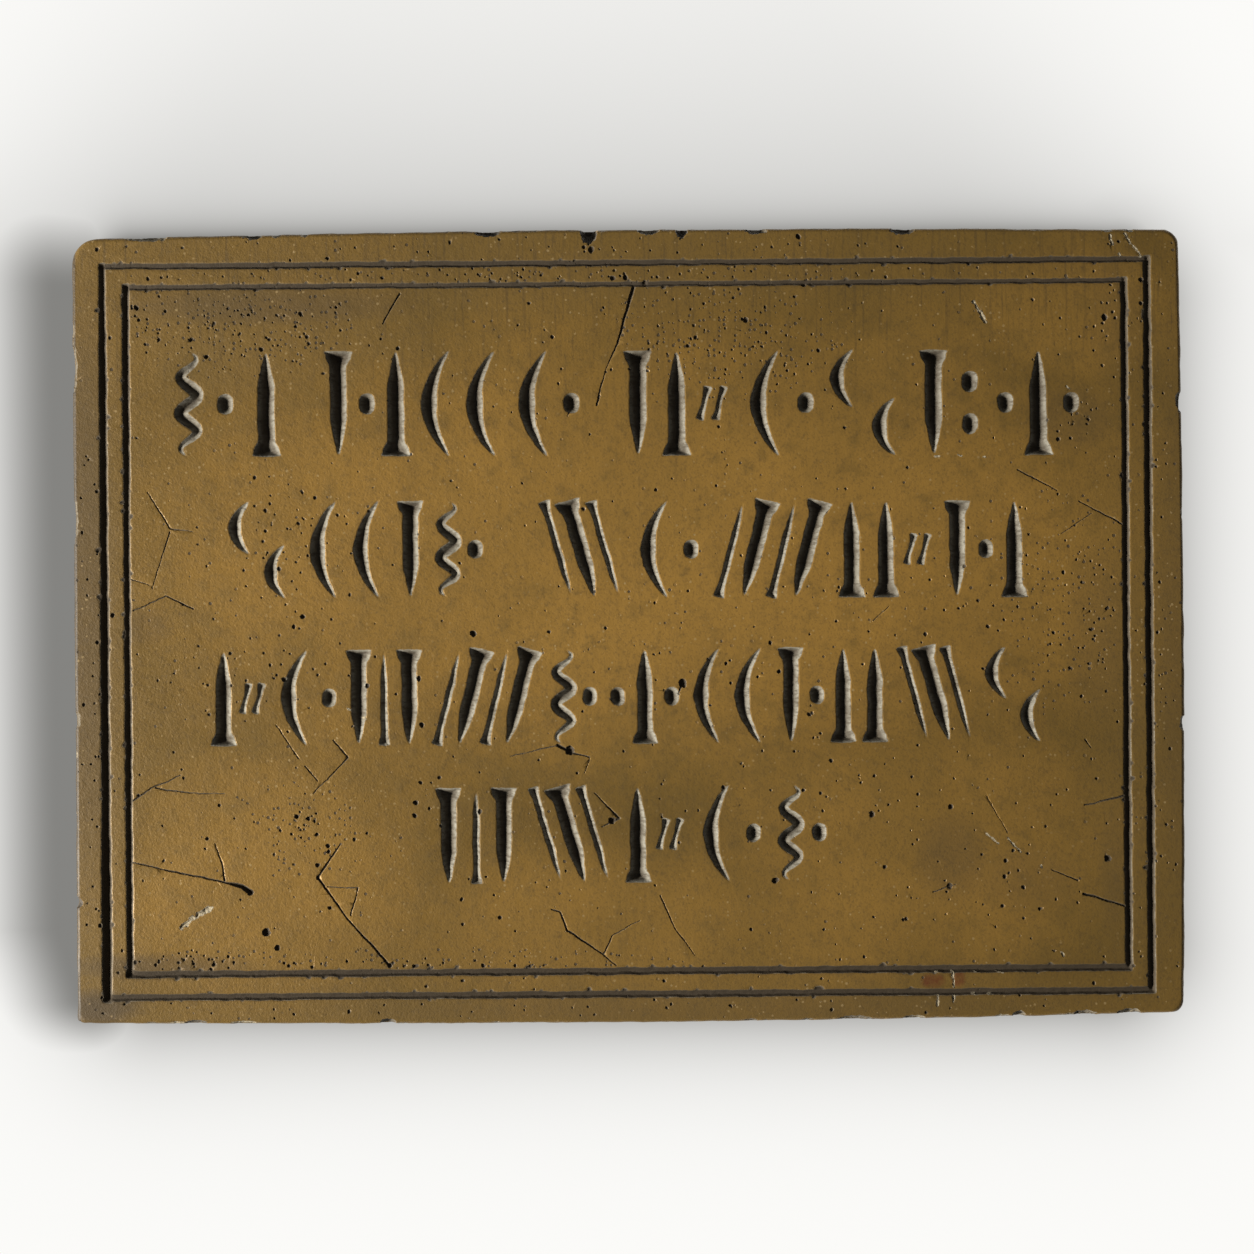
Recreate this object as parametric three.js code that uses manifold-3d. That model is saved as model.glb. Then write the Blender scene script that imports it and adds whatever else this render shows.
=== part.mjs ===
// A cast stone wall plaque with a bronzed face. Two incised border lines frame four rows of V-cut strokes,
// the rim is chipped, and a keyhole in the flat back hangs the plaque on a screw.
//
// Millimetres, +Z up. The origin is the centre of the back face, which lies in the plane y = 0.
// The carved face looks along -Y.
import * as THREE from "three";
import { mergeVertices } from "three/addons/utils/BufferGeometryUtils.js";
import Module from "manifold-3d";

// The slab. WIDTH and HEIGHT are taken at the middle of its sides, and each corner draws in from there, so
// the sides bow a little. The corners go counter-clockwise from the lower left.
const WIDTH = 305;
const HEIGHT = 218;
const THICKNESS = 20;
const CORNERS = [
  { at: [-1, -1], radius: 1.8, drawX: 0, drawZ: 0.8 },
  { at: [1, -1], radius: 3.2, drawX: 0.8, drawZ: 1.6 },
  { at: [1, 1], radius: 4, drawX: 0.8, drawZ: 1.1 },
  { at: [-1, 1], radius: 7, drawX: 0, drawZ: 1.6 },
];
const FRONT_ARRIS = 1.4;
const BACK_ARRIS = 0.8;
const SIDE_STEPS = 6;
const CORNER_STEPS = 5;

// The two border lines, from the slab's edges to the middle of each groove. LINE_WIDTHS holds the outer
// groove's widths at its four corners, and then the inner's.
const LINE_INSET_LEFT = 8.6;
const LINE_INSET_RIGHT = 9.9;
const LINE_INSET_TOP = 9.4;
const LINE_INSET_BOTTOM = 8.1;
const LINE_SPACING = 6.3;
const TOP_LINE_SPACING = 5.8;
const LINE_WIDTHS = [[2.5, 1.9, 1.6, 1.3], [1.7, 1.8, 1.4, 1.5]];
const CUT_SLOPE = 1;
const CUT_CLEARANCE = 0.4;

// The rows of strokes. left, right, base and height are shares of the field inside the border lines,
// and each letter of marks names one group of strokes. None of the groups is a letter.
const ROWS = [
  { base: 0.7498, height: 0.1531, tilt: -0.3, words: [
    { left: 0.0455, right: 0.1518, marks: "wv" },
    { left: 0.204, right: 0.4528, marks: "dbc" },
    { left: 0.5029, right: 0.9544, marks: "necgrt" },
  ] },
  { base: 0.5435, height: 0.1407, tilt: -0.36, words: [
    { left: 0.1046, right: 0.3554, marks: "gbnw" },
    { left: 0.4136, right: 0.8972, marks: "lcmved" },
  ] },
  { base: 0.3307, height: 0.1385, tilt: -0.07, words: [
    { left: 0.0875, right: 0.9221, marks: "ecumwtbdvlg" },
  ] },
  { base: 0.1287, height: 0.14, tilt: 0.22, words: [
    { left: 0.3111, right: 0.6984, marks: "ulecw" },
  ] },
];

// The strokes, as shares of their row's height.
const STEM = 0.08;
const LIGHT_STEM = 0.036;
const HAIR = 0.024;
const LOZENGE = 0.076;
const SERIF_FLARE = 0.85;
const SERIF_RUN = 0.17;
const POINT_RUN = 0.34;
const POINT_POWER = 0.75;
const WAVES = 3;
const BOW_STEPS = 12;
const WAVE_STEPS = 26;
const MARK_GAP = 0.17;

// The keyhole in the back: a round entry for a screw's head, a neck for its shank and a wider space behind.
const ENTRY_RADIUS = 5.5;
const NECK_RADIUS = 2.75;
const LIP_THICKNESS = 4;
const KEYHOLE_DEPTH = 9;
const KEYHOLE_RISE = 14;
const KEYHOLE_BELOW_TOP = 39;
const KEYHOLE_STEPS = 24;

// Flakes knocked off the front edge: the side, how far along it from its middle as a share of its half,
// and the flake's length, its width across the face and its depth down the side.
const CHIPS = [
  { side: "top", along: -0.67, long: 5, across: 0.9, down: 1.6 },
  { side: "top", along: -0.25, long: 8, across: 1.2, down: 2 },
  { side: "top", along: -0.068, long: 5, across: 3.2, down: 3 },
  { side: "top", along: 0.04, long: 7, across: 1, down: 1.8 },
  { side: "top", along: 0.1, long: 3.4, across: 2, down: 2 },
  { side: "top", along: 0.235, long: 7, across: 1, down: 1.8 },
  { side: "top", along: 0.5, long: 7.5, across: 1.2, down: 2 },
  { side: "left", along: 0.67, long: 14, across: 0.8, down: 2.4 },
  { side: "left", along: 0.28, long: 13, across: 0.8, down: 2.6 },
  { side: "left", along: -0.23, long: 5, across: 1, down: 2 },
  { side: "left", along: -0.69, long: 5.5, across: 2.2, down: 2.6 },
  { side: "bottom", along: -0.785, long: 7, across: 1.2, down: 2 },
  { side: "bottom", along: -0.44, long: 5, across: 1, down: 1.8 },
  { side: "bottom", along: 0.51, long: 9, across: 1.1, down: 2 },
  { side: "bottom", along: 0.9, long: 8, across: 1.8, down: 2.6 },
  { side: "right", along: 0.56, long: 6, across: 1.2, down: 3 },
  { side: "right", along: -0.26, long: 5, across: 1, down: 2.4 },
];
const CHIP_RINGS = 6;
const CHIP_STEPS = 10;

const FACE = -THICKNESS;
const wasm = await Module();
wasm.setup();

function asSolid(geometry) {
  const bare = new THREE.BufferGeometry().setAttribute("position", geometry.getAttribute("position"));
  if (geometry.index) bare.setIndex(geometry.index);
  const merged = mergeVertices(bare, 1e-4);
  const vertProperties = merged.attributes.position.array;
  const triVerts = new Uint32Array(merged.index.array);
  if (signedVolume(vertProperties, triVerts) < 0) triVerts.reverse();
  return new wasm.Manifold(new wasm.Mesh({ numProp: 3, vertProperties, triVerts }));
}

// Six times the volume inside a mesh: negative where its faces point inwards.
function signedVolume(points, index) {
  const corner = (n) => new THREE.Vector3().fromArray(points, 3 * index[n]);
  let sum = 0;
  for (let n = 0; n < index.length; n += 3) sum += corner(n).dot(corner(n + 1).cross(corner(n + 2)));
  return sum;
}

function asGeometry(solid) {
  const mesh = solid.getMesh();
  const geometry = new THREE.BufferGeometry();
  geometry.setAttribute("position", new THREE.BufferAttribute(mesh.vertProperties, mesh.numProp));
  geometry.setIndex(new THREE.BufferAttribute(mesh.triVerts, 1));
  geometry.computeVertexNormals();
  return geometry;
}

// A closed surface through rings of equally many points. An open run is capped at both ends, and a round
// one joins its last ring to its first.
function loft(rings, round = false) {
  const count = rings[0].length;
  const index = [];
  const spans = round ? rings.length : rings.length - 1;
  for (let i = 0; i < spans; i++) {
    const here = i * count;
    const next = ((i + 1) % rings.length) * count;
    for (let k = 0; k < count; k++) {
      const beside = (k + 1) % count;
      index.push(here + k, next + k, next + beside, here + k, next + beside, here + beside);
    }
  }
  if (!round) {
    const last = (rings.length - 1) * count;
    for (let k = 1; k < count - 1; k++) {
      index.push(0, k, k + 1);
      index.push(last, last + k + 1, last + k);
    }
  }
  const geometry = new THREE.BufferGeometry();
  geometry.setAttribute("position", new THREE.Float32BufferAttribute(rings.flat(2), 3));
  geometry.setIndex(index);
  return geometry;
}

// The slab's outline at a given inset, counter-clockwise from the lower left corner as the face is seen.
function outline(inset) {
  const halfWidth = WIDTH / 2 - inset;
  const halfHeight = HEIGHT / 2 - inset;
  const points = [];
  CORNERS.forEach(({ at, radius }, n) => {
    const next = CORNERS[(n + 1) % CORNERS.length];
    const centre = [at[0] * (halfWidth - radius), at[1] * (halfHeight - radius)];
    const nextCentre = [next.at[0] * (halfWidth - next.radius), next.at[1] * (halfHeight - next.radius)];
    const turned = (k) => Math.PI * (1 + n / 2) + (k / CORNER_STEPS) * (Math.PI / 2);
    const onArc = (middle, r, angle) => [middle[0] + r * Math.cos(angle), middle[1] + r * Math.sin(angle)];
    for (let k = 0; k < CORNER_STEPS; k++) points.push(onArc(centre, radius, turned(k)));
    const start = onArc(centre, radius, turned(CORNER_STEPS));
    const end = onArc(nextCentre, next.radius, turned(CORNER_STEPS));
    for (let k = 0; k < SIDE_STEPS; k++) {
      const t = k / SIDE_STEPS;
      points.push([start[0] + (end[0] - start[0]) * t, start[1] + (end[1] - start[1]) * t]);
    }
  });
  return points.map(([x, z]) => drawnIn(x, z, halfWidth, halfHeight));
}

// A point of a square-cornered rectangle, drawn in as far as its nearest corner says.
function drawnIn(x, z, halfWidth, halfHeight) {
  const across = x / halfWidth;
  const up = z / halfHeight;
  const corner = CORNERS.find(({ at }) => at[0] * across >= 0 && at[1] * up >= 0);
  return [x - across * corner.drawX * up * up, z - up * corner.drawZ * across * across];
}

function slab() {
  const levels = [
    [0, BACK_ARRIS],
    [-BACK_ARRIS, 0],
    [FACE + FRONT_ARRIS, 0],
    [FACE + FRONT_ARRIS * 0.3, FRONT_ARRIS * 0.3],
    [FACE, FRONT_ARRIS],
  ];
  const rings = levels.map(([y, inset]) => outline(inset).map(([x, z]) => [x, y, z]));
  return asSolid(loft(rings));
}

// The rectangle of one border line's middle: 0 is the outer line and 1 the inner.
function borderLine(number) {
  const step = number * LINE_SPACING;
  const topStep = number * TOP_LINE_SPACING;
  return {
    left: -WIDTH / 2 + LINE_INSET_LEFT + step,
    right: WIDTH / 2 - LINE_INSET_RIGHT - step,
    bottom: -HEIGHT / 2 + LINE_INSET_BOTTOM + step,
    top: HEIGHT / 2 - LINE_INSET_TOP - topStep,
  };
}

// A V-groove round a rectangle, mitred at its corners.
function borderGroove(number) {
  const line = borderLine(number);
  const rings = CORNERS.map(({ at }, n) => {
    const x = at[0] < 0 ? line.left : line.right;
    const z = at[1] < 0 ? line.bottom : line.top;
    const depth = (LINE_WIDTHS[number][n] / 2) * CUT_SLOPE;
    const half = LINE_WIDTHS[number][n] / 2 + CUT_CLEARANCE;
    return [
      [x + at[0] * half, FACE - CUT_CLEARANCE * CUT_SLOPE, z + at[1] * half],
      [x, FACE + depth, z],
      [x - at[0] * half, FACE - CUT_CLEARANCE * CUT_SLOPE, z - at[1] * half],
    ];
  });
  return asSolid(loft(rings, true));
}

// Strokes are drawn in a cell one unit high. A stroke runs from one point to another. Each of its ends is
// flat, with a serif's flare, or a point. bow and wave move its middle sideways by shares of its length.
function stroke(from, to, half, start, end, bow = 0, wave = 0) {
  return { from, to, half, start, end, bow, wave };
}

function nail(x, lean = 0, half = STEM) {
  return stroke([x, 0], [x + lean, 1], half, "point", "flat");
}

function peg(x, lean = 0, half = STEM) {
  return stroke([x, 0], [x + lean, 1], half, "flat", "point");
}

function crescent(x, low, high, bow, half = STEM) {
  return stroke([x, low], [x, high], half, "point", "point", bow);
}

function ripple(x, half) {
  return stroke([x, -0.01], [x, 1.01], half, "point", "point", 0, 0.08);
}

function dash(from, to) {
  return stroke(from, to, HAIR, "flat", "flat");
}

function lozenge(x, z) {
  return stroke([x, z - LOZENGE], [x, z + LOZENGE], LOZENGE, "point", "point");
}

// Each mark is its width, as a share of the row's height, and its strokes.
const MARKS = {
  n: { width: 0.18, strokes: [nail(0.09)] },
  v: { width: 0.18, strokes: [peg(0.09)] },
  w: { width: 0.5, strokes: [ripple(0.14, 0.06), lozenge(0.43, 0.5)] },
  c: { width: 0.6, strokes: [crescent(0.3, -0.02, 1.02, 0.2), lozenge(0.53, 0.5)] },
  b: { width: 0.82, strokes: [crescent(0.3, -0.02, 1.02, 0.2), crescent(0.76, -0.02, 1.02, 0.2)] },
  d: { width: 0.76, strokes: [nail(0.09), peg(0.67), lozenge(0.38, 0.5)] },
  e: { width: 0.56, strokes: [peg(0.09), dash([0.3, 0.34], [0.38, 0.66]), dash([0.44, 0.34], [0.52, 0.66])] },
  r: { width: 0.5, strokes: [nail(0.09), lozenge(0.42, 0.7), lozenge(0.42, 0.3)] },
  g: { width: 0.66, strokes: [
    crescent(0.2, 0.44, 1.01, 0.28, 0.07),
    crescent(0.58, -0.01, 0.56, 0.28, 0.07),
  ] },
  t: { width: 0.74, strokes: [peg(0.37), lozenge(0.07, 0.5), lozenge(0.67, 0.5)] },
  u: { width: 0.74, strokes: [nail(0.09), peg(0.37, 0, LIGHT_STEM), nail(0.65)] },
  l: { width: 0.84, strokes: [
    nail(0.32, -0.28, LIGHT_STEM),
    nail(0.56, -0.28),
    nail(0.8, -0.28, LIGHT_STEM),
  ] },
  m: { width: 1.14, strokes: [
    peg(0.04, 0.26, LIGHT_STEM),
    nail(0.29, 0.26),
    peg(0.57, 0.26, LIGHT_STEM),
    nail(0.82, 0.26),
  ] },
};

// The middle line of a stroke.
class Spine extends THREE.Curve {
  constructor({ from, to, bow, wave }) {
    super();
    this.from = from;
    this.to = to;
    this.bow = bow;
    this.wave = wave;
    this.side = new THREE.Vector2(from.y - to.y, to.x - from.x);
  }

  getPoint(t, target = new THREE.Vector2()) {
    const sway = this.bow * 4 * t * (1 - t) + this.wave * Math.sin(WAVES * 2 * Math.PI * t);
    return target.lerpVectors(this.from, this.to, t).addScaledVector(this.side, sway);
  }
}

// Half the width of a stroke at a share t of its length.
function halfAt(line, t) {
  const length = line.length;
  const pointRun = line.bow ? length / 2 : POINT_RUN * length;
  const shape = (kind, distance) => (kind === "flat"
    ? 1 + SERIF_FLARE * Math.max(0, 1 - distance / (SERIF_RUN * line.unit)) ** 2
    : Math.min(1, distance / pointRun) ** POINT_POWER);
  return line.half * shape(line.start, t * length) * shape(line.end, (1 - t) * length);
}

// The cutter of one stroke: a boat with a V keel, whose flanks keep one slope. At a flat end the keel
// rises to the face, which leaves the three-sided facet of a chiselled serif.
function strokeCutter(line) {
  const path = new Spine(line);
  line.length = path.getLength();
  const shares = [0, 1];
  const steps = line.wave ? WAVE_STEPS : line.bow ? BOW_STEPS : 0;
  for (let k = 1; k < steps; k++) shares.push(k / steps);
  for (const [kind, atEnd] of [[line.start, false], [line.end, true]]) {
    const runs = kind === "flat"
      ? [1.3 * line.half, SERIF_RUN * line.unit * 0.7, SERIF_RUN * line.unit]
      : [0.08 * line.length, POINT_RUN * line.length * 0.5, POINT_RUN * line.length];
    for (const run of steps && kind === "point" ? runs.slice(0, 1) : runs) {
      const share = Math.min(0.48, run / line.length);
      shares.push(atEnd ? 1 - share : share);
    }
  }
  shares.sort((a, b) => a - b);
  const rings = shares.filter((t, n) => n === 0 || t - shares[n - 1] > 0.01).map((t) => {
    const at = path.getPointAt(t);
    const along = path.getTangentAt(t);
    const half = halfAt(line, t);
    const ends = [line.start === "flat" ? t : 1, line.end === "flat" ? 1 - t : 1];
    const keel = Math.min(half, ...ends.map((share) => share * line.length));
    const reach = half + CUT_CLEARANCE;
    return [
      [at.x - along.y * reach, FACE - CUT_CLEARANCE * CUT_SLOPE, at.y + along.x * reach],
      [at.x, FACE + keel * CUT_SLOPE, at.y],
      [at.x + along.y * reach, FACE - CUT_CLEARANCE * CUT_SLOPE, at.y - along.x * reach],
    ];
  });
  return asSolid(loft(rings));
}

// Every stroke of a row, in millimetres on the face.
function rowStrokes(row, field) {
  const fieldWidth = field.right - field.left;
  const fieldHeight = field.top - field.bottom;
  const unit = row.height * fieldHeight;
  const base = field.bottom + row.base * fieldHeight;
  const lean = Math.tan(THREE.MathUtils.degToRad(row.tilt));
  const middle = (field.left + field.right) / 2;
  const lines = [];
  for (const word of row.words) {
    const marks = [...word.marks].map((letter) => MARKS[letter]);
    const left = field.left + word.left * fieldWidth;
    const room = (word.right - word.left) * fieldWidth;
    const natural = marks.reduce((sum, mark) => sum + mark.width, MARK_GAP * (marks.length - 1));
    const spread = room / natural;
    let start = 0;
    for (const mark of marks) {
      for (const drawn of mark.strokes) {
        const place = ([x, z]) => {
          const across = left + (start + x) * spread;
          return new THREE.Vector2(across, base + z * unit + (across - middle) * lean);
        };
        const half = drawn.half * unit;
        lines.push({ ...drawn, unit, half, from: place(drawn.from), to: place(drawn.to) });
      }
      start += mark.width + MARK_GAP;
    }
  }
  return lines;
}

function chipCutter({ side, along, long, across, down }) {
  const upright = side === "left" || side === "right";
  const sign = side === "right" || side === "top" ? 1 : -1;
  const halfWidth = WIDTH / 2;
  const halfHeight = HEIGHT / 2;
  const place = upright
    ? drawnIn(sign * halfWidth, along * halfHeight, halfWidth, halfHeight)
    : drawnIn(along * halfWidth, sign * halfHeight, halfWidth, halfHeight);
  const flake = new THREE.SphereGeometry(1, CHIP_STEPS, CHIP_RINGS);
  const reach = FRONT_ARRIS * 0.6 + across;
  flake.scale(upright ? reach : long / 2, FRONT_ARRIS * 0.6 + down, upright ? long / 2 : reach);
  flake.translate(place[0], FACE, place[1]);
  flake.deleteAttribute("normal");
  flake.deleteAttribute("uv");
  return asSolid(flake);
}

// A slot with round ends, upright, extruded from a depth to the back face and past it.
function slotCutter(radius, rise, from, to) {
  const foot = HEIGHT / 2 - KEYHOLE_BELOW_TOP - KEYHOLE_RISE;
  const shape = new THREE.Shape();
  shape.absarc(0, foot + rise, radius, 0, Math.PI, false);
  shape.absarc(0, foot, radius, Math.PI, 2 * Math.PI, false);
  const run = new THREE.ExtrudeGeometry(shape, {
    depth: to - from, bevelEnabled: false, curveSegments: KEYHOLE_STEPS / 2,
  });
  run.rotateX(Math.PI / 2);
  run.translate(0, to, 0);
  run.deleteAttribute("normal");
  run.deleteAttribute("uv");
  return asSolid(run);
}

function keyhole() {
  const entry = slotCutter(ENTRY_RADIUS, 0.01, -KEYHOLE_DEPTH, 1);
  const neck = slotCutter(NECK_RADIUS, KEYHOLE_RISE, -KEYHOLE_DEPTH, 1);
  const behind = slotCutter(ENTRY_RADIUS, KEYHOLE_RISE, -KEYHOLE_DEPTH, -LIP_THICKNESS);
  return entry.add(neck).add(behind);
}

function plaque() {
  const field = borderLine(1);
  const cutters = [
    borderGroove(0),
    borderGroove(1),
    ...ROWS.flatMap((row) => rowStrokes(row, field)).map(strokeCutter),
    ...CHIPS.map(chipCutter),
    keyhole(),
  ];
  return wasm.Manifold.difference([slab(), ...cutters]);
}

const bronzedStone = new THREE.MeshStandardMaterial({ color: 0x8f6d38, roughness: 0.5, metalness: 0.35 });
const mesh = new THREE.Mesh(asGeometry(plaque()), bronzedStone);
mesh.name = "plaque";

const object = new THREE.Group();
object.name = "relief_plaque";
object.add(mesh);

export default object;
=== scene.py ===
"""Looks of a bronzed cast stone wall plaque: weathered relief, finish, the wall behind it, light and camera.

The relief is worked out in millimetres, as whole arrays over a fine grid of the carved face and over rings
of points that run round its edge, and is set into the mesh in metres. x runs to the right, z up, and depth
runs from the carved face into the slab.
"""

import math

import bmesh
import bpy
import numpy as np
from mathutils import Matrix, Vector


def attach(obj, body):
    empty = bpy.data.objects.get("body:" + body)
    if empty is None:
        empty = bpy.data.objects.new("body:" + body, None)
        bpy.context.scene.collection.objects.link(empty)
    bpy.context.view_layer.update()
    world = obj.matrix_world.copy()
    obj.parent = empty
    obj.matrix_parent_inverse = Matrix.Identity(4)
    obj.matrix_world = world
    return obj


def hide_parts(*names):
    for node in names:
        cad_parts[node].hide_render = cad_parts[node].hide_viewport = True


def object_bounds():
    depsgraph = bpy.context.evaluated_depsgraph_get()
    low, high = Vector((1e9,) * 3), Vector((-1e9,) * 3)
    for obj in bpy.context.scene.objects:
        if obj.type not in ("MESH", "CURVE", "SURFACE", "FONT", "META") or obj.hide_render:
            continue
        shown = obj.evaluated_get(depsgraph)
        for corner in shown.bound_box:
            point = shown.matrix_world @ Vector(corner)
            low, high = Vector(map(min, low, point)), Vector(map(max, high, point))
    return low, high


bl_info = {
    "name": "Bronzed stone plaque",
    "version": (1, 0, 0),
    "blender": (4, 5, 0),
    "location": "3D View > Sidebar > Plaque",
    "description": "Builds a weathered cast stone wall plaque with an incised face",
    "category": "Add Mesh",
}

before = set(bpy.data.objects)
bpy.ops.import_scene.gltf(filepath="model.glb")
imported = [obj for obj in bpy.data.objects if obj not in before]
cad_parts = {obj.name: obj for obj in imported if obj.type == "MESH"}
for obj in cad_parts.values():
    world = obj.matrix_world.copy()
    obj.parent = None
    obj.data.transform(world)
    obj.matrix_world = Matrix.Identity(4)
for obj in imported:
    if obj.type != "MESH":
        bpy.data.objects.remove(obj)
CAD_LOW, CAD_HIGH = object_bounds()
MM = 0.001
WIDTH = (CAD_HIGH.x - CAD_LOW.x) / MM
HEIGHT = (CAD_HIGH.z - CAD_LOW.z) / MM
THICKNESS = (CAD_HIGH.y - CAD_LOW.y) / MM

# The slab's corners: side of the centre, radius, and how far the corner draws in from a square one.
CORNERS = (
    (-1, -1, 1.8, 0.0, 0.8), (1, -1, 3.2, 0.8, 1.6), (1, 1, 4.0, 0.8, 1.1), (-1, 1, 7.0, 0.0, 1.6),
)
FRONT_ARRIS = 1.4
BACK_ARRIS = 0.8

# The border lines. Each side holds the line's width at its lower or left end and at its other end.
LINE_INSET = {"left": 8.6, "right": 9.9, "top": 9.4, "bottom": 8.1}
LINE_SPACING = {"left": 6.3, "right": 6.3, "top": 5.8, "bottom": 6.3}
LINE_WIDTHS = (
    {"left": (2.9, 2.0), "right": (2.2, 2.2), "top": (1.8, 1.7), "bottom": (2.1, 2.0)},
    {"left": (2.0, 2.1), "right": (2.1, 2.0), "top": (1.6, 1.5), "bottom": (2.1, 2.2)},
)
LINE_UNEVENNESS = 0.09
CUT_SLOPE = 1.0
END_SLOPE = 1.7
LINE_SLOPES = (0.8, 1.9)
SCRATCH_SLOPES = (1.8, 1.8)
SCRATCH_WIDENING = 0.04

# The depth where no cut is.
OUTSIDE = -9.0

# How far the hand strays: size of the waves, their share, and the seeds of the two directions.
STRAYING = ((3.1, 1.0, (11, 13)), (0.9, 0.45, (12, 14)), (0.5, 0.4, (15, 16)))

# How dark a cut's walls are painted, for soot and for painted shade: 0 is a stroke's, 1 a border line's, and
# 2 black throughout. The top and bottom lines are black as painted shade, which the light from the left
# doesn't give them, and pits and scratches are near black for soot and painted shade.
LINE_SOOT_AND_SHADE = {"left": 1.0, "right": 1.0, "top": 2.0, "bottom": 2.0}
SCRATCH_SOOT_AND_SHADE = 1.75
PIT_SOOT_AND_SHADE = 2.0

# Pits keep this far inside the outline, and no corner draws in further.
EDGE_ROOM = 2

# The rows of strokes, in shares of the field inside the border lines: base, height, tilt in degrees, and
# each word's two ends and its marks.
ROWS = (
    (0.7498, 0.1531, -0.3, ((0.0455, 0.1518, "wv"), (0.204, 0.4528, "dbc"), (0.5029, 0.9544, "necgrt"))),
    (0.5435, 0.1407, -0.36, ((0.1046, 0.3554, "gbnw"), (0.4136, 0.8972, "lcmved"))),
    (0.3307, 0.1385, -0.07, ((0.0875, 0.9221, "ecumwtbdvlg"),)),
    (0.1287, 0.14, 0.22, ((0.3111, 0.6984, "ulecw"),)),
)
STEM = 0.08
LIGHT_STEM = 0.036
HAIR = 0.024
LOZENGE = 0.076
SERIF_FLARE = 0.85
SERIF_RUN = 0.17
POINT_RUN = 0.34
POINT_POWER = 0.75
WAVES = 3
MARK_GAP = 0.17

# The keyhole in the back.
ENTRY_RADIUS = 5.5
NECK_RADIUS = 2.75
LIP_THICKNESS = 4.0
KEYHOLE_DEPTH = 9.0
KEYHOLE_RISE = 14.0
KEYHOLE_FOOT = HEIGHT / 2 - 39.0 - KEYHOLE_RISE

# Flakes off the front edge, by side: place along it as a share of its half, length, width across the face,
# depth down the side, and paleness of the stone that shows. A low paleness is partly painted shade in the
# notch.
CHIPS = {
    "top": ((-0.67, 5, 0.9, 1.6, 0.2), (-0.63, 3, 0.5, 1.2, 0.9), (-0.58, 2.4, 0.4, 1, 0.9),
            (0.87, 4, 0.3, 1, 0.8), (0.91, 2.4, 0.3, 0.9, 0.9), (-0.25, 8, 1.2, 2, 0.1),
            (-0.068, 5, 3.2, 3, 0.1), (0.04, 7, 1, 1.8, 0.3), (0.1, 3.4, 2, 2, 0.1),
            (0.235, 7, 1, 1.8, 0.3), (0.5, 7.5, 1.2, 2, 0.2)),
    "left": ((0.67, 14, 0.8, 2.4, 0.3), (0.28, 13, 0.8, 2.6, 0.3), (-0.23, 5, 1, 2, 0.3),
             (-0.69, 3.4, 1.3, 2.2, 0.1)),
    "bottom": ((-0.785, 7, 0.5, 1.6, 0.15), (-0.44, 5, 1, 1.8, 0.2), (0.51, 7, 0.4, 1.7, 0.5),
               (0.7, 4, 1.1, 1.8, 0.3), (0.82, 7, 0.9, 2, 0.3), (0.9, 7, 1, 2.2, 0.4)),
    "right": ((0.56, 6, 1.2, 3, 0.3), (-0.26, 5, 1, 2.4, 0.5)),
}

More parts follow.
